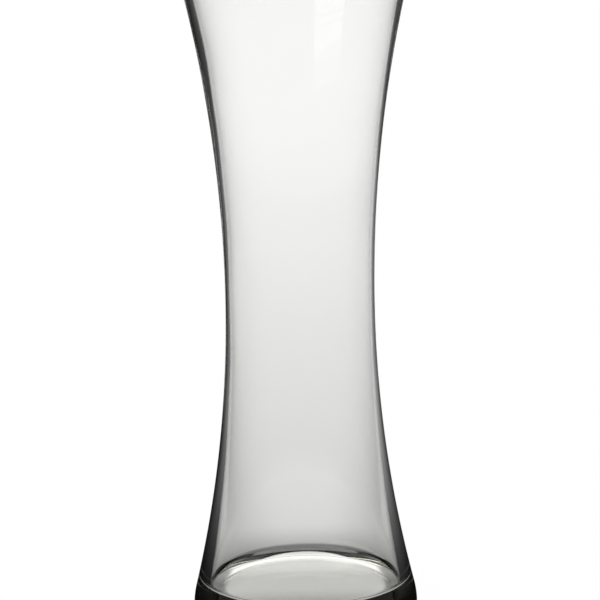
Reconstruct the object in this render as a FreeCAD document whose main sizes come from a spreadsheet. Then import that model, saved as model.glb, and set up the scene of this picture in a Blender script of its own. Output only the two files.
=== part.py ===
"""Waisted trumpet vase of clear blown glass, 300 mm tall, standing on a heavy solid foot.

The glass is drawn in two named regions, which meet face to face at the level of the
cavity's floor: blown_wall, the hollow waisted wall with its cut and bevelled rim, and
heavy_base, the solid glass below that floor. Both are turned about +Z. The origin is the
centre of the flat underside, and every length is in millimetres.
"""
import FreeCAD, Part
import math
import os
from enum import IntEnum

import Sketcher
from FreeCAD import Vector

# The driving dimensions, in millimetres. Diameters are over the outside of the glass.
SIZES = {
    "overall_height": 300.0,  # table to the top of the rim
    "rim_diameter": 104.9,  # widest place of the mouth, just under the bevel
    "rim_wall": 4.0,  # glass at the rim, measured level
    "rim_bevel": 1.2,  # takes the edges off the cut rim, outside and inside
    "waist_diameter": 67.4,  # narrowest place
    "waist_height": 148.7,  # of the narrowest place, above the table
    "waist_wall": 1.6,  # glass at the waist, where it is drawn out the thinnest
    "foot_diameter": 102.5,  # widest place of the foot
    "foot_height": 5.5,  # of that place, above the table; the side is upright below it
    "foot_bevel_width": 5.0,  # ground edge between the side and the underside, measured level
    "foot_bevel_height": 3.0,  # of the same edge, above the table
    "foot_wall": 5.4,  # glass just above the rounded corner of the floor
    "corner_radius": 2.5,  # rounding inside, at the bottom of the wall
    "corner_rise": 4.0,  # of the rounding's centre, above the floor of the cavity
    "base_thickness": 15.2,  # solid glass under that floor
}

# How steeply the floor falls from the corner to its flat middle.
FLOOR_SLOPE_IN_DEGREES = 20

SHEET = "sizes"
PARTS_FOLDER = "parts"
HALF_TURN = math.pi
FULL_TURN_IN_DEGREES = math.degrees(2 * HALF_TURN)


class Spot(IntEnum):
    """How a sketch numbers the points of a curve."""

    START = 1
    END = 2
    CENTRE = 3


class Guide(IntEnum):
    """How a sketch numbers its own level axis and its upright axis."""

    LEVEL = -1
    UPRIGHT = -2


# The level axis of a sketch starts at the sketch's origin.
ORIGIN = (Guide.LEVEL, Spot.START)


class Outline:
    """Places on the section through the axis, as (radius, height), worked out from the sizes.

    The sketches start from these places. Their constraints, which the sheet drives, hold
    the same shape.
    """

    def __init__(self, sizes):
        self.waist = Vector(sizes["waist_diameter"] / 2, sizes["waist_height"])
        self.inner_waist = self.waist - Vector(sizes["waist_wall"], 0)
        self.floor = sizes["base_thickness"]
        self.place_outer_foot(sizes)
        self.place_rim(sizes)
        self.place_inner_foot(sizes)
        self.place_underside(sizes)

    def place_outer_foot(self, sizes):
        """The waisted side runs without a kink into the convex heel, at the floor's level."""
        self.foot = Vector(sizes["foot_diameter"] / 2, sizes["foot_height"])
        spread = self.foot.x - self.waist.x
        drop = self.waist.y - self.foot.y
        both_radii = (spread**2 + drop**2) / (2 * spread)
        self.side_radius = both_radii * (self.waist.y - self.floor) / drop
        self.heel_radius = both_radii - self.side_radius
        self.heel_turn = math.asin(drop / both_radii)
        self.side_centre = self.waist + Vector(self.side_radius, 0)
        self.heel_centre = self.foot - Vector(self.heel_radius, 0)
        reach = self.heel_radius * math.cos(self.heel_turn)
        self.seam = Vector(self.heel_centre.x + reach, self.floor)

    def place_rim(self, sizes):
        """The upper side and the bore each run up an arc from the waist to their bevel."""
        bevel = sizes["rim_bevel"]
        shoulder = sizes["overall_height"] - bevel
        self.rim_outside = Vector(sizes["rim_diameter"] / 2, shoulder)
        self.rim_inside = self.rim_outside - Vector(sizes["rim_wall"], 0)
        self.top_outside = self.rim_outside + Vector(-bevel, bevel)
        self.top_inside = self.rim_inside + Vector(bevel, bevel)
        self.upper_radius = self.radius_from_waist(self.waist, self.rim_outside)
        self.bore_radius = self.radius_from_waist(self.inner_waist, self.rim_inside)
        rise = shoulder - self.waist.y
        self.upper_turn = math.asin(rise / self.upper_radius)
        self.bore_turn = math.asin(rise / self.bore_radius)

    @staticmethod
    def radius_from_waist(waist, end):
        """The radius of an arc that leaves the waist upright and ends at another place."""
        run = end - waist
        return (run.x**2 + run.y**2) / (2 * run.x)

    def place_inner_foot(self, sizes):
        """The bore opens towards the foot, turns the corner and slopes down to the floor."""
        self.corner = sizes["corner_radius"]
        corner_height = self.floor + sizes["corner_rise"]
        drop = self.waist.y - corner_height
        sag = self.side_radius - math.sqrt(self.side_radius**2 - drop**2)
        self.wall_outside = Vector(self.waist.x + sag, corner_height)
        self.wall_inside = self.wall_outside - Vector(sizes["foot_wall"], 0)
        self.corner_centre = self.wall_inside - Vector(self.corner, 0)
        spread = self.corner_centre.x - self.inner_waist.x
        squares = spread**2 + drop**2 - self.corner**2
        self.lower_bore_radius = squares / (2 * (spread + self.corner))
        self.corner_turn = math.asin(drop / (self.lower_bore_radius + self.corner))
        slope = math.radians(FLOOR_SLOPE_IN_DEGREES)
        toe = Vector(math.sin(slope), -math.cos(slope)) * self.corner
        self.slope_top = self.corner_centre + toe
        fall = self.slope_top.y - self.floor
        self.floor_edge = self.slope_top - Vector(fall / math.tan(slope), fall)

    def place_underside(self, sizes):
        """The upright land below the heel, its ground edge, and the flat underside."""
        self.land_end = Vector(self.foot.x, sizes["foot_bevel_height"])
        self.face_edge = Vector(self.foot.x - sizes["foot_bevel_width"], 0)


class Section:
    """A sketch on its own body's XZ plane, whose named dimensions follow the sheet."""

    def __init__(self, body, name):
        self.sketch = body.newObject("Sketcher::SketchObject", name)
        plane = next(part for part in body.Origin.OriginFeatures if part.Role == "XZ_Plane")
        self.sketch.AttachmentSupport = [(plane, "")]
        self.sketch.MapMode = "FlatFace"

    def line(self, start, end, construction=False):
        """A straight edge from one place to another."""
        return self.sketch.addGeometry(Part.LineSegment(start, end), construction)

    def arc(self, centre, radius, first, last, construction=False):
        """An arc that runs anticlockwise from the angle first to the angle last."""
        circle = Part.Circle(centre, Vector(0, 0, 1), radius)
        return self.sketch.addGeometry(Part.ArcOfCircle(circle, first, last), construction)

    def hold(self, kind, *places):
        """A constraint without a size, such as Tangent, between curves or their points."""
        self.sketch.addConstraint(Sketcher.Constraint(kind, *places))

    def chain(self, *curves):
        """Joins the end of each curve to the start of the next."""
        for before, after in zip(curves, curves[1:]):
            self.hold("Coincident", before, Spot.END, after, Spot.START)

    def size(self, name, kind, places, value, formula):
        """A dimension that starts at a value and follows a formula of the sheet."""
        index = self.sketch.addConstraint(Sketcher.Constraint(kind, *places, value))
        self.sketch.renameConstraint(index, name)
        self.sketch.setExpression("Constraints." + name, formula)

    def across(self, name, first, second, value, formula):
        """How far the second point lies outside the first, measured level."""
        self.size(name, "DistanceX", (*first, *second), value, formula)

    def above(self, name, first, second, value, formula):
        """How far the second point lies above the first."""
        self.size(name, "DistanceY", (*first, *second), value, formula)


def cell(name):
    """How a formula names a cell of the sheet."""
    return f"<<{SHEET}>>.{name}"


def add_sheet(doc):
    """The spreadsheet of driving dimensions, one row and one alias for each."""
    sheet = doc.addObject("Spreadsheet::Sheet", SHEET)
    for row, (name, value) in enumerate(SIZES.items(), start=1):
        sheet.set(f"A{row}", name)
        sheet.set(f"B{row}", str(value))
        sheet.setAlias(f"B{row}", name)
    doc.recompute()


def draw_outer_foot(section, outline, wall_is_real):
    """The waisted side below the waist, and the heel that it runs into.

    The sketch of each region holds both curves, the other region's as construction, so
    that one smooth outline crosses the seam.
    """
    side = section.arc(
        outline.side_centre,
        outline.side_radius,
        HALF_TURN,
        HALF_TURN + outline.heel_turn,
        not wall_is_real,
    )
    heel = section.arc(
        outline.heel_centre, outline.heel_radius, 0, outline.heel_turn, wall_is_real
    )
    waist = (side, Spot.START)
    foot = (heel, Spot.START)
    seam = (side, Spot.END)
    section.hold("Tangent", *seam, heel, Spot.END)
    section.hold("Horizontal", *waist, side, Spot.CENTRE)
    section.hold("Horizontal", *foot, heel, Spot.CENTRE)
    section.across("waist_radius", ORIGIN, waist, outline.waist.x, cell("waist_diameter") + " / 2")
    section.above("waist_level", ORIGIN, waist, outline.waist.y, cell("waist_height"))
    section.across("foot_radius", ORIGIN, foot, outline.foot.x, cell("foot_diameter") + " / 2")
    section.above("foot_level", ORIGIN, foot, outline.foot.y, cell("foot_height"))
    section.above("seam_level", ORIGIN, seam, outline.floor, cell("base_thickness"))
    return side, heel


def draw_rim(section, outline, side):
    """The upper side, the cut rim with its two bevels, and the bore down to the waist."""
    upper_centre = outline.waist + Vector(outline.upper_radius, 0)
    upper_start = HALF_TURN - outline.upper_turn
    upper = section.arc(upper_centre, outline.upper_radius, upper_start, HALF_TURN)
    bore_centre = outline.inner_waist + Vector(outline.bore_radius, 0)
    bore_start = HALF_TURN - outline.bore_turn
    bore = section.arc(bore_centre, outline.bore_radius, bore_start, HALF_TURN)
    outer_bevel = section.line(outline.rim_outside, outline.top_outside)
    top = section.line(outline.top_outside, outline.top_inside)
    inner_bevel = section.line(outline.top_inside, outline.rim_inside)
    shoulder = (upper, Spot.START)
    edge = (outer_bevel, Spot.END)
    inner_edge = (top, Spot.END)
    inner_shoulder = (bore, Spot.START)
    section.hold("Tangent", side, Spot.START, upper, Spot.END)
    section.hold("Coincident", *shoulder, outer_bevel, Spot.START)
    section.chain(outer_bevel, top, inner_bevel, bore)
    section.hold("Horizontal", top)
    section.hold("Horizontal", *inner_shoulder, *shoulder)
    section.hold("Horizontal", bore, Spot.END, bore, Spot.CENTRE)
    section.hold("Horizontal", bore, Spot.END, side, Spot.START)

    radius = cell("rim_diameter") + " / 2"
    section.across("rim_radius", ORIGIN, shoulder, outline.rim_outside.x, radius)
    section.above("rim_level", ORIGIN, edge, outline.top_outside.y, cell("overall_height"))
    bevel = outline.top_outside.y - outline.rim_outside.y
    section.above("bevel_height", shoulder, edge, bevel, cell("rim_bevel"))
    section.across("bevel_width", edge, shoulder, bevel, cell("rim_bevel"))
    section.across("inner_bevel_width", inner_shoulder, inner_edge, bevel, cell("rim_bevel"))
    wall = outline.rim_outside.x - outline.rim_inside.x
    section.across("rim_wall", inner_shoulder, shoulder, wall, cell("rim_wall"))
    wall = outline.waist.x - outline.inner_waist.x
    inner_waist = (bore, Spot.END)
    section.across("waist_wall", inner_waist, (side, Spot.START), wall, cell("waist_wall"))
    return bore


def draw_inner_foot(section, outline, side, bore):
    """The bore below the waist, the corner, the slope down to the floor, and the seam."""
    lower_centre = outline.inner_waist + Vector(outline.lower_bore_radius, 0)
    lower_end = HALF_TURN + outline.corner_turn
    lower = section.arc(lower_centre, outline.lower_bore_radius, HALF_TURN, lower_end)
    toe_turn = math.radians(FLOOR_SLOPE_IN_DEGREES) - HALF_TURN / 2
    corner = section.arc(outline.corner_centre, outline.corner, toe_turn, outline.corner_turn)
    slope = section.line(outline.floor_edge, outline.slope_top)
    seam = section.line(outline.floor_edge, outline.seam)
    gauge = section.line(outline.wall_inside, outline.wall_outside, True)
    section.hold("Tangent", bore, Spot.END, lower, Spot.START)
    section.hold("Tangent", lower, Spot.END, corner, Spot.END)
    section.hold("Tangent", corner, Spot.START, slope, Spot.END)
    section.hold("Coincident", slope, Spot.START, seam, Spot.START)
    section.hold("Coincident", seam, Spot.END, side, Spot.END)
    section.hold("Horizontal", seam)
    section.hold("Horizontal", gauge)
    section.hold("Horizontal", gauge, Spot.START, corner, Spot.CENTRE)
    section.hold("PointOnObject", gauge, Spot.START, corner)
    section.hold("PointOnObject", gauge, Spot.END, side)

    section.size("corner_radius", "Radius", (corner,), outline.corner, cell("corner_radius"))
    centre = (corner, Spot.CENTRE)
    level = f"{cell('base_thickness')} + {cell('corner_rise')}"
    section.above("corner_level", ORIGIN, centre, outline.corner_centre.y, level)
    fall = math.radians(FLOOR_SLOPE_IN_DEGREES)
    section.size("slope", "Angle", (slope,), fall, f"{FLOOR_SLOPE_IN_DEGREES} deg")
    wall = outline.wall_outside.x - outline.wall_inside.x
    ends = ((gauge, Spot.START), (gauge, Spot.END))
    section.across("foot_wall", *ends, wall, cell("foot_wall"))


def draw_base(section, outline, side, heel):
    """The flat top of the base, the flat face that it stands on, and the edge round it."""
    top_centre = Vector(0, outline.floor)
    face_centre = Vector(0, 0)
    top = section.line(outline.seam, top_centre)
    axis = section.line(top_centre, face_centre)
    face = section.line(face_centre, outline.face_edge)
    bevel = section.line(outline.face_edge, outline.land_end)
    land = section.line(outline.land_end, outline.foot)
    section.hold("Coincident", side, Spot.END, top, Spot.START)
    section.chain(top, axis, face, bevel, land)
    section.hold("Tangent", land, Spot.END, heel, Spot.START)
    section.hold("PointOnObject", top, Spot.END, Guide.UPRIGHT)
    section.hold("Coincident", axis, Spot.END, *ORIGIN)
    section.hold("Horizontal", top)
    section.hold("Horizontal", face)

    inner = (face, Spot.END)
    outer = (bevel, Spot.END)
    width = outline.foot.x - outline.face_edge.x
    section.across("bevel_width", inner, outer, width, cell("foot_bevel_width"))
    height = outline.land_end.y
    section.above("bevel_height", inner, outer, height, cell("foot_bevel_height"))


def add_body(doc, name):
    """An empty body that stands on the vase's own origin."""
    body = doc.addObject("PartDesign::Body", name)
    body.Label = name
    body.Placement = FreeCAD.Placement(Vector(0, 0, 0), FreeCAD.Rotation())
    return body


def turn(body, section, name):
    """Turns a section into a solid, a full turn about the vase's axis."""
    solid = body.newObject("PartDesign::Revolution", name)
    solid.Profile = section.sketch
    solid.ReferenceAxis = (section.sketch, ["V_Axis"])
    solid.Angle = FULL_TURN_IN_DEGREES


def add_blown_wall(doc, outline):
    """The hollow wall: rim, waist, and the thickened foot that stands on the base."""
    body = add_body(doc, "blown_wall")
    section = Section(body, "wall_section")
    side, _ = draw_outer_foot(section, outline, wall_is_real=True)
    bore = draw_rim(section, outline, side)
    draw_inner_foot(section, outline, side, bore)
    turn(body, section, "turned_wall")
    return body


def add_heavy_base(doc, outline):
    """The solid glass below the floor, with its heel and its flat underside."""
    body = add_body(doc, "heavy_base")
    section = Section(body, "base_section")
    side, heel = draw_outer_foot(section, outline, wall_is_real=False)
    draw_base(section, outline, side, heel)
    turn(body, section, "turned_base")
    return body


def check(doc, bodies):
    """Stops the script where an object failed or a region isn't one sound solid."""
    for item in doc.Objects:
        if "Invalid" in item.State or "Error" in item.State:
            raise RuntimeError(f"{item.Label} failed: {item.State}")
    for body in bodies:
        shape = body.Shape
        if shape.isNull() or not shape.isValid() or len(shape.Solids) != 1:
            raise RuntimeError(f"{body.Label} isn't one sound solid")


def main():
    """Builds the vase and writes one file for each region."""
    doc = FreeCAD.newDocument("trumpet_vase")
    add_sheet(doc)
    outline = Outline(SIZES)
    bodies = [add_blown_wall(doc, outline), add_heavy_base(doc, outline)]
    doc.recompute()
    check(doc, bodies)
    os.makedirs(PARTS_FOLDER, exist_ok=True)
    for body in bodies:
        body.Shape.exportStep(os.path.join(PARTS_FOLDER, body.Label + ".step"))
        box = body.Shape.optimalBoundingBox()
        volume = body.Shape.Volume
        print(f"{body.Label}: {volume:.0f} mm3, from {box.ZMin:.2f} to {box.ZMax:.2f} mm")


main()
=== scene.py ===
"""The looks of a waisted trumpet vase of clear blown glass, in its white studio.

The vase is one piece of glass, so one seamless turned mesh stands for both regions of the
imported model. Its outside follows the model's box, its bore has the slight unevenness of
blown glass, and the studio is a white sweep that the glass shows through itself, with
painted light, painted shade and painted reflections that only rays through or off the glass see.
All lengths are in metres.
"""
import logging
import math
from dataclasses import dataclass, field
from enum import Enum
from typing import Any, Iterable, Iterator, Mapping, Optional, Union

import bpy
from mathutils import Matrix, Vector


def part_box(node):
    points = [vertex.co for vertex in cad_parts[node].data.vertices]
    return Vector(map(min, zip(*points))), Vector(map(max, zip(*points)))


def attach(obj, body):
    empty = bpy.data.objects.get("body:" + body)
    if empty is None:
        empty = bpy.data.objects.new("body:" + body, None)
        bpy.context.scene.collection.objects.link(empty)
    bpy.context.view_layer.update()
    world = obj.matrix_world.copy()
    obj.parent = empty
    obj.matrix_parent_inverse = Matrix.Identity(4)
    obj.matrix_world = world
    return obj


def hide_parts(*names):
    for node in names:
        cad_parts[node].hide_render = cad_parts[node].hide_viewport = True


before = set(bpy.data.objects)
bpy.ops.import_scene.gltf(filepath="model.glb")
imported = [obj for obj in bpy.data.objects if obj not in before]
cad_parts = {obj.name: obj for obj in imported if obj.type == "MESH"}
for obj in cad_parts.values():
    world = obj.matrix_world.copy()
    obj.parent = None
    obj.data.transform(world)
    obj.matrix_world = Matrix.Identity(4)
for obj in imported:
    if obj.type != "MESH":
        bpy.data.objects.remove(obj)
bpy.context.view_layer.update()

BODY = "root"
MM = 0.001
PHOTO_SIDE = 600
QUARTER_TURN = math.pi / 2
HALF_TURN = math.pi
FULL_TURN = 2 * math.pi
WHITE = (1.0, 1.0, 1.0, 1.0)
NOISE_MIDDLE = 0.5
LESS_THAN_ONE = 0.5

log = logging.getLogger("trumpet_vase")

Feed = Union["Value", float, int, tuple, Vector, str, bool, bpy.types.ID]


class Value:
    """A socket of a node tree, on which Python's operators add Math nodes."""

    def __init__(self, tree: "Tree", socket: bpy.types.NodeSocket) -> None:
        """Keeps the socket and the tree that it belongs to."""
        self.tree = tree
        self.socket = socket

    def math(self, operation: str, *terms: Feed) -> "Value":
        """Adds one Math node.

        Args:
            operation: What the node works out, such as "SINE".
            terms: Its inputs, in order.

        Returns:
            The node's result.
        """
        return self.tree.add("ShaderNodeMath", dict(enumerate(terms)), operation=operation)

    def __add__(self, other: Feed) -> "Value":
        """This value plus another."""
        return self.math("ADD", self, other)

    def __radd__(self, other: Feed) -> "Value":
        """Another value plus this one."""
        return self.math("ADD", other, self)

    def __sub__(self, other: Feed) -> "Value":
        """This value less another."""
        return self.math("SUBTRACT", self, other)

    def __rsub__(self, other: Feed) -> "Value":
        """Another value less this one."""
        return self.math("SUBTRACT", other, self)

    def __mul__(self, other: Feed) -> "Value":
        """This value times another."""
        return self.math("MULTIPLY", self, other)

    def __rmul__(self, other: Feed) -> "Value":
        """Another value times this one."""
        return self.math("MULTIPLY", other, self)

    def __truediv__(self, other: Feed) -> "Value":
        """This value over another."""
        return self.math("DIVIDE", self, other)

    def __rtruediv__(self, other: Feed) -> "Value":
        """Another value over this one."""
        return self.math("DIVIDE", other, self)

    def __mod__(self, other: Feed) -> "Value":
        """What is left of this value when it is divided by another."""
        return self.math("MODULO", self, other)

    def __rmod__(self, other: Feed) -> "Value":
        """What is left of another value when it is divided by this one."""
        return self.math("MODULO", other, self)

    def below(self, limit: Feed) -> "Value":
        """1 where this value is under a limit, and 0 elsewhere."""
        return self.math("LESS_THAN", self, limit)

    def whole(self) -> "Value":
        """The whole number at or below this value."""
        return self.math("FLOOR", self)


class Tree:
    """A node tree that is filled by calls."""

    def __init__(self, nodes: bpy.types.NodeTree) -> None:
        """Keeps the tree and empties it."""
        self.nodes = nodes
        nodes.nodes.clear()

    def add(
        self, kind: str, feeds: Optional[Mapping] = None, out: Union[str, int] = 0, **settings: Any
    ) -> Value:
        """Adds any node.

        Args:
            kind: The node's type, such as "ShaderNodeTexNoise".
            feeds: What goes into its sockets, by name or number: values, links or data.
            out: The output that is wanted.
            settings: The node's own settings, which are set before its sockets are fed.

        Returns:
            The wanted output, or the first input of a node that closes the tree.
        """
        node = self.nodes.nodes.new(kind)
        for name, setting in settings.items():
            setattr(node, name, setting)
        for name, feed in (feeds or {}).items():
            socket = self.find(node.inputs, name)
            if isinstance(feed, Value):
                self.nodes.links.new(feed.socket, socket)
            else:
                socket.default_value = feed
        ends = node.outputs or node.inputs
        return Value(self, self.find(ends, out))

    @staticmethod
    def find(sockets: Iterable, name: Union[str, int]) -> bpy.types.NodeSocket:
        """Finds a socket that is in use.

        Args:
            sockets: A node's inputs or outputs.
            name: The socket's name, or its number among those in use.

        Returns:
            The socket.
        """
        used = [socket for socket in sockets if socket.enabled]
        if isinstance(name, int):
            return used[name]
        return next(socket for socket in used if socket.name == name)

    def other(self, value: Value, out: str) -> Value:
        """Another output of the node that a value comes from."""
        return Value(self, self.find(value.socket.node.outputs, out))

    def light_path(self, out: str) -> Value:
        """What kind of ray asks, as Light Path tells it."""
        return self.add("ShaderNodeLightPath", out=out)


class Region(Enum):
    """The stretches of the section, by the side of the glass that they are on."""

    UNDERSIDE = "underside"
    OUTSIDE = "outside"
    RIM = "rim"
    BORE = "bore"
    FLOOR = "floor"


@dataclass(frozen=True)
class BlownGlass:
    """Clear soda glass with a faint warm body colour, rubbed where it has stood."""

    name: str = "clear_blown_glass"
    tint: tuple[float, ...] = WHITE
    refraction: float = 1.5
    polish: float = 0.0
    worn_roughness: float = 0.05
    worn_height: float = 0.25 * MM
    wear_scale: float = 160.0
    depth_colour: tuple[float, ...] = (0.96, 0.945, 0.72, 1.0)
    depth_density: float = 8.0
    ripple_scale: float = 34.0
    ripple_depth: float = 0.02 * MM
    ripple_strength: float = 0.05

    def material(self) -> bpy.types.Material:
        """Builds the material.

        Returns:
            Principled glass with plain absorption in its depth.
        """
        material = bpy.data.materials.new(self.name)
        material.use_nodes = True
        tree = Tree(material.node_tree)
        place = tree.add("ShaderNodeTexCoord", out="Object")
        height = tree.other(tree.add("ShaderNodeSeparateXYZ", {"Vector": place}), "Z")
        wear = tree.add("ShaderNodeTexNoise", {"Vector": place, "Scale": self.wear_scale})
        worn = height.below(self.worn_height) * wear
        ripple = tree.add("ShaderNodeTexNoise", {"Vector": place, "Scale": self.ripple_scale})
        bump = tree.add(
            "ShaderNodeBump",
            {"Height": ripple, "Strength": self.ripple_strength, "Distance": self.ripple_depth},
        )
        glass = tree.add(
            "ShaderNodeBsdfPrincipled",
            {
                "Base Color": self.tint,
                "Roughness": self.polish + worn * self.worn_roughness,
                "IOR": self.refraction,
                "Transmission Weight": 1.0,
                "Normal": bump,
            },
        )
        depth = tree.add(
            "ShaderNodeVolumeAbsorption", {"Color": self.depth_colour, "Density": self.depth_density}
        )
        tree.add("ShaderNodeOutputMaterial", {"Surface": glass, "Volume": depth})
        return material


@dataclass
class Section:
    """Half of the glass's section, walked from the underside's centre round to the floor's."""

    points: list[Vector] = field(default_factory=list)
    regions: list[Region] = field(default_factory=list)

    def add(self, region: Region, places: Iterable[Vector]) -> None:
        """Adds a stretch.

        Args:
            region: The side of the glass that the stretch is on.
            places: Its points, as (radius, height).
        """
        for place in places:
            self.points.append(place)
            self.regions.append(region)

    def share_of(self, region: Region) -> Iterator[float]:
        """1 for each point that is in a region, and 0 for the others."""
        return (float(each is region) for each in self.regions)


def shares(steps: int) -> list[float]:
    """Evenly spaced shares from 0 to 1, both ends included."""
    return [step / steps for step in range(steps + 1)]


def straight(start: Vector, end: Vector, steps: int) -> list[Vector]:
    """Evenly spaced points on a line, both ends included."""
    return [start.lerp(end, share) for share in shares(steps)]


def round_arc(centre: Vector, radius: float, first: float, last: float, steps: int) -> list[Vector]:
    """Evenly spaced points on an arc.

    Args:
        centre: The arc's centre.
        radius: Its radius.
        first: The angle where it starts, in radians.
        last: The angle where it ends.
        steps: How many chords stand for it.

    Returns:
        The points, both ends included.
    """
    turns = [first + (last - first) * share for share in shares(steps)]
    return [centre + radius * Vector((math.cos(turn), math.sin(turn))) for turn in turns]


def soft_corners(corners: list[Vector], reach: float, steps: int) -> list[Vector]:
    """Points of a chain of lines whose corners are ground round.

    Args:
        corners: The chain's start, the places where its lines would meet, and its end.
        reach: How far from a corner its rounding starts.
        steps: How many chords stand for each rounding.

    Returns:
        The points of the roundings, both ends of each included.
    """
    points = []
    for before, corner, after in zip(corners, corners[1:], corners[2:]):
        start = corner + (before - corner).normalized() * reach
        end = corner + (after - corner).normalized() * reach
        for share in shares(steps):
            points.append(start.lerp(corner, share).lerp(corner.lerp(end, share), share))
    return points


@dataclass
class TrumpetGlass:
    """The whole vase: one blown piece of glass with a flared mouth and a heavy foot.

    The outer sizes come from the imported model, the others repeat the model's own. Angles are
    in degrees.
    """

    # The section.
    waist_radius: float = 33.7 * MM
    waist_height: float = 148.7 * MM
    waist_wall: float = 1.6 * MM
    rim_wall: float = 4.0 * MM
    rim_bevel: float = 1.2 * MM
    foot_wall: float = 5.4 * MM
    foot_height: float = 5.5 * MM
    foot_bevel_width: float = 5.0 * MM
    foot_bevel_height: float = 3.0 * MM
    corner_radius: float = 2.5 * MM
    corner_rise: float = 4.0 * MM
    floor_slope: float = 20.0
    rim_rounding: float = 0.5 * MM
    foot_rounding: float = 0.8 * MM

    # How many chords stand for the full turn and for each stretch of the section.
    segments: int = 288
    side_steps: int = 48
    heel_steps: int = 12
    corner_steps: int = 16
    face_steps: int = 12
    floor_steps: int = 8
    ramp_steps: int = 4
    foot_rounding_steps: int = 6
    rim_rounding_steps: int = 5

    # The unevenness that blowing leaves in the bore.
    bore_offset: float = 0.6 * MM
    bore_waves: float = 0.25 * MM
    wave_scale: float = 30.0
    seed: float = 11.0

    merge_distance: float = 0.001 * MM
    finish: BlownGlass = field(default_factory=BlownGlass)

    def __post_init__(self) -> None:
        """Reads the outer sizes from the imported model."""
        low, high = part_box("blown_wall")
        self.rim_radius = min(abs(reach) for corner in (low, high) for reach in corner[:2])
        self.height = high.z
        self.floor = low.z
        low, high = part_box("heavy_base")
        self.foot_radius = min(abs(reach) for corner in (low, high) for reach in corner[:2])

    def touching_arcs(self) -> tuple[float, float, float]:
        """Works out the heel and the waisted side, which touch at the floor's level.

        Returns:
            The heel's radius, the side's radius, and the angle that each of them turns.
        """
        spread = self.foot_radius - self.waist_radius
        drop = self.waist_height - self.foot_height
        both_radii = (spread**2 + drop**2) / (2 * spread)
        side_radius = both_radii * (self.waist_height - self.floor) / drop
        return both_radii - side_radius, side_radius, math.asin(drop / both_radii)

    def underside(self) -> list[Vector]:
        """The flat underside and the ground edge round it.

        Returns:
            Points from the axis out to the upright land of the foot.
        """
        centre = Vector((0, 0))
        face_edge = Vector((self.foot_radius - self.foot_bevel_width, 0))
        land = Vector((self.foot_radius, self.foot_bevel_height))
        foot = Vector((self.foot_radius, self.foot_height))
        face = straight(centre, face_edge - Vector((2 * self.foot_rounding, 0)), self.face_steps)
        corners = [centre, face_edge, land, foot]
        return face + soft_corners(corners, self.foot_rounding, self.foot_rounding_steps)

    def outside(self) -> list[Vector]:
        """The heel, and the waisted side up to the rim.

        Returns:
            Points from the widest place of the foot up to the outer bevel.
        """
        heel_radius, side_radius, turn = self.touching_arcs()
        heel_centre = Vector((self.foot_radius - heel_radius, self.foot_height))
        side_centre = Vector((self.waist_radius + side_radius, self.waist_height))
        heel = round_arc(heel_centre, heel_radius, 0, turn, self.heel_steps)
        side = round_arc(side_centre, side_radius, HALF_TURN + turn, HALF_TURN, self.side_steps)
        rise = self.shoulder - self.waist_height
        flare = self.rim_radius - self.waist_radius
        upper = self.rising_arc(self.waist_radius, flare, rise)
        return heel + side[1:] + upper[1:-1]

    @property
    def shoulder(self) -> float:
        """The height where the rim's bevels start."""
        return self.height - self.rim_bevel

    def rising_arc(self, radius: float, spread: float, rise: float) -> list[Vector]:
        """An arc that leaves the waist upright and flares as it rises.

        Args:
            radius: How far from the axis it starts.
            spread: How far it flares.
            rise: How far it rises.

        Returns:
            Its points, both ends included.
        """
        bend = (spread**2 + rise**2) / (2 * spread)
        centre = Vector((radius + bend, self.waist_height))
        turn = math.asin(rise / bend)
        return round_arc(centre, bend, HALF_TURN, HALF_TURN - turn, self.side_steps)

    def rim(self) -> list[Vector]:
        """The flat cut top, with the bevel on each side of it, all corners ground round.

        Returns:
            Points from the outer side over the top to the bore.
        """
        outer = Vector((self.rim_radius, self.shoulder))
        inner = outer - Vector((self.rim_wall, 0))
        top_outer = outer + Vector((-self.rim_bevel, self.rim_bevel))
        top_inner = inner + Vector((self.rim_bevel, self.rim_bevel))
        below = Vector((0, self.rim_bevel))
        corners = [outer - below, outer, top_outer, top_inner, inner, inner - below]
        return soft_corners(corners, self.rim_rounding, self.rim_rounding_steps)

    def bore(self) -> list[Vector]:
        """The inside of the wall, down through the waist and the corner to its short slope.

        Returns:
            Points down to the edge of the flat floor.
        """
        inner_waist = self.waist_radius - self.waist_wall
        rise = self.shoulder - self.waist_height
        flare = self.rim_radius - self.rim_wall - inner_waist
        upper = self.rising_arc(inner_waist, flare, rise)[::-1]
        corner_height = self.floor + self.corner_rise
        drop = self.waist_height - corner_height
        side_radius = self.touching_arcs()[1]
        sag = side_radius - math.sqrt(side_radius**2 - drop**2)
        spread = self.waist_radius + sag - self.foot_wall - self.corner_radius - inner_waist
        squares = spread**2 + drop**2 - self.corner_radius**2
        bend = squares / (2 * (spread + self.corner_radius))
        turn = math.asin(drop / (bend + self.corner_radius))
        centre = Vector((inner_waist + bend, self.waist_height))
        lower = round_arc(centre, bend, HALF_TURN, HALF_TURN + turn, self.side_steps)
        corner_centre = Vector((inner_waist + spread, corner_height))
        slope = math.radians(self.floor_slope)
        toe = slope - QUARTER_TURN
        corner = round_arc(corner_centre, self.corner_radius, turn, toe, self.corner_steps)
        fall = corner[-1].y - self.floor
        edge = corner[-1] - Vector((fall / math.tan(slope), fall))
        ramp = straight(corner[-1], edge, self.ramp_steps)
        return upper[1:] + lower[1:] + corner[1:] + ramp[1:]

    def flat_floor(self, edge: Vector) -> list[Vector]:
        """Points of the flat floor, from the slope's end in to the axis."""
        return straight(edge, Vector((0, self.floor)), self.floor_steps)[1:]

    def section(self) -> Section:
        """Walks round the whole section, region by region.

        Returns:
            The section.
        """
        section = Section()
        section.add(Region.UNDERSIDE, self.underside())
        section.add(Region.OUTSIDE, self.outside())
        section.add(Region.RIM, self.rim())
        bore = self.bore()
        section.add(Region.BORE, bore)
        section.add(Region.FLOOR, self.flat_floor(bore[-1]))
        return section

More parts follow.
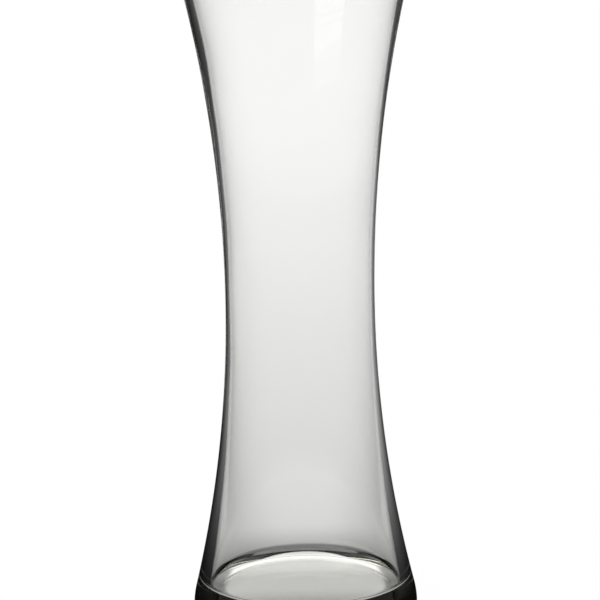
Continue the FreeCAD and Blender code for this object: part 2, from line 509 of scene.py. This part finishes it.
    def host(self, section: Section) -> bpy.types.Object:
        """The object that carries the section's points for the turning.

        Args:
            section: The section to carry.

        Returns:
            An object whose mesh has one vertex for each point. Its "bore_share" is 0 off the
            bore, and on it rises from 0 at the floor to 1 at the rim.
        """
        mesh = bpy.data.meshes.new("trumpet_glass_section")
        mesh.from_pydata([(place.x, 0, place.y) for place in section.points], [], [])
        bore = mesh.attributes.new("bore_share", "FLOAT", "POINT")
        rise = self.height - self.floor
        for number, share in enumerate(section.share_of(Region.BORE)):
            level = (section.points[number].y - self.floor) / rise
            bore.data[number].value = share * level
        host = bpy.data.objects.new("trumpet_glass", mesh)
        bpy.context.scene.collection.objects.link(host)
        return host

    def turning(self) -> bpy.types.NodeTree:
        """Builds the tree that turns a section about the axis.

        Returns:
            A geometry tree with named inputs for what may be changed.
        """
        group = bpy.data.node_groups.new("turned_glass", "GeometryNodeTree")
        interface = group.interface
        for name, kind in (
            ("Section", "NodeSocketGeometry"),
            ("Segments", "NodeSocketInt"),
            ("Points", "NodeSocketInt"),
            ("Bore Offset", "NodeSocketFloat"),
            ("Bore Waves", "NodeSocketFloat"),
            ("Seed", "NodeSocketFloat"),
            ("Glass", "NodeSocketMaterial"),
        ):
            interface.new_socket(name, in_out="INPUT", socket_type=kind)
        interface.new_socket("Turned", in_out="OUTPUT", socket_type="NodeSocketGeometry")
        tree = Tree(group)
        inputs = tree.add("NodeGroupInput", out="Section")
        count = tree.other(inputs, "Points")
        segments = tree.other(inputs, "Segments")
        grid = tree.add(
            "GeometryNodeMeshGrid", {"Vertices X": segments + 1, "Vertices Y": count}
        )
        index = tree.add("GeometryNodeInputIndex")
        row = index % count
        turn = (index / count).whole() / segments * FULL_TURN
        place = self.sampled(tree, inputs, "FLOAT_VECTOR", tree.add("GeometryNodeInputPosition"), row)
        share = tree.add("GeometryNodeInputNamedAttribute", {"Name": "bore_share"}, data_type="FLOAT")
        bore_share = self.sampled(tree, inputs, "FLOAT", share, row)
        parts = tree.add("ShaderNodeSeparateXYZ", {"Vector": place})
        radius = tree.other(parts, "X")
        height = tree.other(parts, "Z")
        cosine = turn.math("COSINE", turn)
        sine = turn.math("SINE", turn)
        plain = tree.add("ShaderNodeCombineXYZ", {"X": radius * cosine, "Y": radius * sine, "Z": height})
        waves = tree.add(
            "ShaderNodeTexNoise",
            {"Vector": plain, "W": tree.other(inputs, "Seed"), "Scale": self.wave_scale, "Detail": 0.0},
            noise_dimensions="4D",
        )
        uneven = radius + bore_share * (waves - NOISE_MIDDLE) * tree.other(inputs, "Bore Waves") * 2
        shift = bore_share * tree.other(inputs, "Bore Offset")
        final = tree.add(
            "ShaderNodeCombineXYZ", {"X": uneven * cosine + shift, "Y": uneven * sine, "Z": height}
        )
        turned = tree.add("GeometryNodeSetPosition", {"Geometry": grid, "Position": final})
        joined = tree.add(
            "GeometryNodeMergeByDistance", {"Geometry": turned, "Distance": self.merge_distance}
        )
        smooth = tree.add("GeometryNodeSetShadeSmooth", {"Geometry": joined, "Shade Smooth": True})
        real = tree.add("GeometryNodeRealizeInstances", {"Geometry": smooth})
        dressed = tree.add(
            "GeometryNodeSetMaterial", {"Geometry": real, "Material": tree.other(inputs, "Glass")}
        )
        tree.add("NodeGroupOutput", {"Turned": dressed})
        return group

    @staticmethod
    def sampled(tree: Tree, section: Value, kind: str, value: Value, row: Value) -> Value:
        """What the section holds at a row.

        Args:
            tree: The tree to add to.
            section: The section's geometry.
            kind: The data type to read.
            value: The field to read.
            row: Which of the section's points.

        Returns:
            The field's value there.
        """
        feeds = {"Geometry": section, "Value": value, "Index": row}
        return tree.add("GeometryNodeSampleIndex", feeds, data_type=kind)

    def build(self) -> bpy.types.Object:
        """Turns the section, dresses the result and hands it to the frame.

        Returns:
            The finished piece.
        """
        section = self.section()
        host = self.host(section)
        group = self.turning()
        modifier = host.modifiers.new("turning", "NODES")
        modifier.node_group = group
        inputs = {
            "Segments": self.segments,
            "Points": len(section.points),
            "Bore Offset": self.bore_offset,
            "Bore Waves": self.bore_waves,
            "Seed": self.seed,
            "Glass": self.finish.material(),
        }
        for item in group.interface.items_tree:
            if item.in_out == "INPUT" and item.name in inputs:
                modifier[item.identifier] = inputs[item.name]
        depsgraph = bpy.context.evaluated_depsgraph_get()
        mesh = bpy.data.meshes.new_from_object(host.evaluated_get(depsgraph))
        host.modifiers.remove(modifier)
        host.data = mesh
        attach(host, BODY)
        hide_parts("blown_wall", "heavy_base")
        log.info("%s: %d faces", host.name, len(mesh.polygons))
        return host


@dataclass(frozen=True)
class FloorPlace:
    """A place on the floor, told from the vase's axis, with back away from the camera."""

    across: Value
    back: Value
    distance: Value
    azimuth: Value

    @classmethod
    def of(cls, place: Value) -> "FloorPlace":
        """Takes a place apart.

        Args:
            place: The place, as a vector.

        Returns:
            Its parts, with the azimuth in degrees from straight back.
        """
        tree = place.tree
        parts = tree.add("ShaderNodeSeparateXYZ", {"Vector": place})
        across = tree.other(parts, "X")
        back = tree.other(parts, "Y")
        distance = tree.add("ShaderNodeVectorMath", {0: place}, out="Value", operation="LENGTH")
        azimuth = across.math("DEGREES", across.math("ARCTAN2", across, back))
        return cls(across, back, distance, azimuth)


def ramp(value: Value, ends: tuple[float, float], low: Feed, high: Feed) -> Value:
    """A smooth change from low to high between two ends, and level outside them."""
    feeds = {"Value": value, "From Min": ends[0], "From Max": ends[1], "To Min": low, "To Max": high}
    return value.tree.add("ShaderNodeMapRange", feeds, "Result", interpolation_type="SMOOTHSTEP")


@dataclass(frozen=True)
class SweepWithPaintedLight:
    """How bright the studio looks to each kind of ray.

    The camera sees plain white. Glass shows the same sweep through itself, with painted shade
    that greys it towards the vase, a painted shadow round the foot and painted light and shade
    under it. Where it reflects, it shows painted reflections: a bright strip behind the vase,
    and round it the dim room, a little lighter low down and high up. Azimuths are in degrees
    from straight back.
    """

    # What the camera sees, what lights dull surfaces, and how much of the shadow is kept.
    white: float = 1.03
    plain_level: float = 0.6
    shadow_share: float = 0.06

    # The table through glass, with painted shade: its level at the vase, and what distance adds as it
    # grows.
    near: float = 0.70
    far_gain: float = 0.39
    reach: float = 0.8

    # It dims a little between directions that lie twice the second angle apart.
    dim_azimuths: tuple[float, float] = (3.0, 22.5)
    dim_share: float = 0.8

    # The dark round the foot, where the vase keeps the light off the table.
    contact_shade: float = 0.17
    shade_reach: tuple[float, float] = (60 * MM, 140 * MM)

    # The table under the foot, from the front to the back: painted shade in front, painted light at the
    # back.
    under_front: float = 0.42
    under_middle: float = 0.87
    under_back: float = 1.15
    under_front_places: tuple[float, float] = (-30 * MM, 4 * MM)
    under_back_places: tuple[float, float] = (15 * MM, 46 * MM)

    # The table under the foot's ground edge, which catches more light at the back.
    edge_front: float = 0.8
    edge_back: float = 1.3
    edge_places: tuple[float, float] = (5 * MM, 27 * MM)
    edge_start: tuple[float, float] = (41.5 * MM, 44.5 * MM)
    edge_end: tuple[float, float] = (52.5 * MM, 55.5 * MM)

    # Both flanks of what is under the foot are darker, as painted shade.
    flank_places: tuple[float, float] = (37 * MM, 43 * MM)
    flank_share: float = 0.35

    # The table in painted reflections, which is lighter in front, and where it ends.
    table_front: float = 0.45
    table_back: float = 0.22
    table_places: tuple[float, float] = (-10 * MM, 20 * MM)
    table_end: tuple[float, float] = (50 * MM, 60 * MM)

    # The painted reflection of a bright strip.
    strip_azimuths: tuple[float, float] = (9.0, 14.0)
    strip_start: tuple[float, float] = (58 * MM, 110 * MM)

    # The dark of the room, and the haze and the glow beside the strip, all painted reflections.
    room: float = 0.004
    left_haze: float = 0.008
    right_haze: float = 0.1
    left_glow: float = 0.19
    right_glow: float = 0.32
    glow_azimuths: tuple[float, float] = (19.0, 43.0)
    haze_azimuths: tuple[float, float] = (50.0, 85.0)
    haze_start: tuple[float, float] = (0.08, 0.5)
    haze_end: tuple[float, float] = (0.9, 2.0)
    far_share: float = 0.12

    # The room in painted reflections above the floor, by the sine of the elevation.
    low_glow: float = 0.25
    low_rises: tuple[float, float] = (0.16, 0.26)
    top_glow: float = 1.0
    top_rises: tuple[float, float] = (0.46, 0.56)
    ceiling_glow: float = 0.25
    ceiling_rises: tuple[float, float] = (0.70, 0.80)

    def under_foot(self, spot: FloorPlace) -> Value:
        """The painted light and painted shade on the table under the foot, seen through the solid base.

        Args:
            spot: The place on the floor.

        Returns:
            The brightness.
        """
        under = ramp(spot.back, self.under_front_places, self.under_front, self.under_middle)
        under = under + ramp(spot.back, self.under_back_places, 0.0, self.under_back - self.under_middle)
        edge = ramp(spot.distance, self.edge_start, 0.0, 1.0)
        edge_light = ramp(spot.back, self.edge_places, self.edge_front, self.edge_back)
        wide = spot.across.math("ABSOLUTE", spot.across)
        flank = ramp(wide, self.flank_places, 1.0, self.flank_share)
        return (under * (1 - edge) + edge_light * edge) * flank

    def seen_through(self, place: Value) -> Value:
        """The sweep's brightness through glass, with painted shade that grows towards the vase, and
        painted light and shade under the foot.

        Args:
            place: The place on the floor, as a vector.

        Returns:
            The brightness.
        """
        spot = FloorPlace.of(place)
        fade = spot.distance.math("EXPONENT", spot.distance * (-1 / self.reach))
        far = self.near + self.far_gain * (1 - fade)
        widest = self.dim_azimuths[1]
        off = spot.azimuth.math("ABSOLUTE", spot.azimuth.math("WRAP", spot.azimuth, widest, -widest))
        far = far * ramp(off, self.dim_azimuths, 1.0, self.dim_share)
        lit = ramp(spot.distance, self.shade_reach, 0.0, 1.0)
        table = self.contact_shade * (1 - lit) + far * lit
        outside = ramp(spot.distance, self.edge_end, 0.0, 1.0)
        return self.under_foot(spot) * (1 - outside) + table * outside

    def reflected(self, place: Value) -> Value:
        """The painted reflections of the table, the bright strip and the room.

        Args:
            place: The place on the floor, as a vector.

        Returns:
            The brightness.
        """
        spot = FloorPlace.of(place)
        off = spot.azimuth.math("ABSOLUTE", spot.azimuth)
        left = spot.azimuth.below(0.0)
        strip = ramp(off, self.strip_azimuths, 1.0, 0.0)
        strip = strip * ramp(spot.distance, self.strip_start, 0.0, 1.0)
        glow = self.right_glow - left * (self.right_glow - self.left_glow)
        haze = self.right_haze - left * (self.right_haze - self.left_haze)
        haze = haze + ramp(off, self.glow_azimuths, 0.0, glow)
        behind = ramp(off, self.haze_azimuths, 1.0, 0.0)
        haze = haze * ramp(spot.distance, self.haze_start, 0.0, behind)
        haze = haze * ramp(spot.distance, self.haze_end, 1.0, self.far_share)
        table = ramp(spot.back, self.table_places, self.table_front, self.table_back)
        away = ramp(spot.distance, self.table_end, 0.0, 1.0)
        return table * (1 - away) + away * (strip + haze + self.room)

    def around(self, direction: Value) -> Value:
        """The painted reflections of the room above the floor.

        Args:
            direction: Where a ray goes, as a vector of length 1.

        Returns:
            The brightness, which is least between the low glow and the lit top of the room.
        """
        parts = direction.tree.add("ShaderNodeSeparateXYZ", {"Vector": direction})
        rise = direction.tree.other(parts, "Z")
        low = ramp(rise, self.low_rises, self.low_glow, 0.0)
        high = ramp(rise, self.top_rises, 0.0, self.top_glow)
        fall = ramp(rise, self.ceiling_rises, 0.0, self.top_glow - self.ceiling_glow)
        return self.room + low + high - fall

    def seen(self, tree: Tree, through: Feed, mirrored: Feed, other: Feed) -> Value:
        """The brightness that each kind of ray sees.

        Args:
            tree: The tree to add to.
            through: What rays see that only passed through glass.
            mirrored: What rays see that the glass reflected.
            other: What rays see that light a dull surface.

        Returns:
            The brightness.
        """
        camera = tree.light_path("Is Camera Ray")
        glass = tree.light_path("Is Transmission Ray")
        shiny = tree.light_path("Is Glossy Ray")
        reflected = 1 - tree.light_path("Glossy Depth").below(LESS_THAN_ONE)
        clear = glass * (1 - reflected)
        turned = shiny * reflected
        dull = (1 - camera) * (1 - clear) * (1 - turned)
        return camera * self.white + clear * through + turned * mirrored + dull * other


@dataclass
class Studio:
    """The floor, the world and the lamp round the vase."""

    sweep: SweepWithPaintedLight = field(default_factory=SweepWithPaintedLight)
    floor_colour: tuple[float, ...] = (0.9, 0.9, 0.9, 1.0)
    floor_radius: float = 12.0
    floor_sides: int = 64
    floor_gap: float = 0.2 * MM
    key_place: tuple[float, ...] = (-1.08, -1.2, 1.2)
    key_aim: tuple[float, ...] = (0.0, 0.0, 0.15)
    key_side: float = 1.2
    key_power: float = 3.5

    def floor_material(self) -> bpy.types.Material:
        """Builds the pale floor, which keeps a faint shadow; glass sees painted light, shade and
        reflections on it.

        Returns:
            The material.
        """
        material = bpy.data.materials.new("sweep_floor_with_painted_light")
        material.use_nodes = True
        tree = Tree(material.node_tree)
        place = tree.add("ShaderNodeTexCoord", out="Object")
        seen = self.sweep.seen(tree, self.sweep.seen_through(place), self.sweep.reflected(place), 0.0)
        glow = tree.add("ShaderNodeEmission", {"Color": WHITE, "Strength": seen})
        matt = tree.add("ShaderNodeBsdfDiffuse", {"Color": self.floor_colour})
        share = tree.light_path("Is Camera Ray") * self.sweep.shadow_share
        surface = tree.add("ShaderNodeMixShader", {"Fac": share, 1: glow, 2: matt})
        tree.add("ShaderNodeOutputMaterial", {"Surface": surface})
        return material

    def floor(self) -> bpy.types.Object:
        """Lays a round floor, a hair below the face that the vase stands on.

        Returns:
            The floor.
        """
        mesh = bpy.data.meshes.new("floor")
        sides = self.floor_sides
        corners = round_arc(Vector((0, 0)), self.floor_radius, 0, FULL_TURN, sides)[:-1]
        mesh.from_pydata([(*corner, -self.floor_gap) for corner in corners], [], [range(sides)])
        mesh.materials.append(self.floor_material())
        floor = bpy.data.objects.new("floor", mesh)
        bpy.context.scene.collection.objects.link(floor)
        return floor

    def world(self) -> None:
        """The far part of the sweep, the painted reflections of the room, and the plain light that falls
        on dull surfaces.
        """
        world = bpy.data.worlds.new("studio")
        world.use_nodes = True
        bpy.context.scene.world = world
        tree = Tree(world.node_tree)
        far = self.sweep.near + self.sweep.far_gain
        around = self.sweep.around(tree.add("ShaderNodeTexCoord", out="Generated"))
        seen = self.sweep.seen(tree, far, around, self.sweep.plain_level)
        back = tree.add("ShaderNodeBackground", {"Color": WHITE, "Strength": seen})
        tree.add("ShaderNodeOutputWorld", {"Surface": back})

    def lamp(self) -> None:
        """Hangs one large soft key light, in front and to the left."""
        light = bpy.data.lights.new("key", "AREA")
        light.shape = "SQUARE"
        light.size = self.key_side
        light.energy = self.key_power
        key = bpy.data.objects.new("key", light)
        key.location = self.key_place
        aim = Vector(self.key_aim) - key.location
        key.rotation_euler = aim.to_track_quat("-Z", "Y").to_euler()
        bpy.context.scene.collection.objects.link(key)

    def build(self) -> None:
        """Sets up everything round the vase."""
        bpy.context.scene.view_settings.view_transform = "Standard"
        self.world()
        self.floor()
        self.lamp()
        log.info("studio: floor, world and key light")


@dataclass
class PhotoCamera:
    """The camera of the photograph, in the vase's own frame, with its angles in degrees."""

    distance: float = 1.2
    height: float = 0.3754
    pitch_down: float = 10.76
    roll: float = -1.1
    focal_pixels: float = 2710.8
    sensor: float = 36.0

    def build(self) -> None:
        """Places the camera and makes it the scene's."""
        data = bpy.data.cameras.new("photo_camera")
        data.sensor_width = self.sensor
        data.lens = self.focal_pixels / PHOTO_SIDE * self.sensor
        camera = bpy.data.objects.new("photo_camera", data)
        tilt = Matrix.Rotation(QUARTER_TURN - math.radians(self.pitch_down), 4, "X")
        lean = Matrix.Rotation(math.radians(self.roll), 4, "Z")
        place = Matrix.Translation((0, -self.distance, self.height))
        camera.matrix_world = place @ tilt @ lean
        bpy.context.scene.collection.objects.link(camera)
        bpy.context.scene.camera = camera


def main() -> None:
    """Builds the camera, the vase and the studio, and logs the vase's faces and the studio."""
    logging.basicConfig(level=logging.INFO, format="%(name)s: %(message)s")
    PhotoCamera().build()
    TrumpetGlass().build()
    Studio().build()


if __name__ == "__main__":
    main()
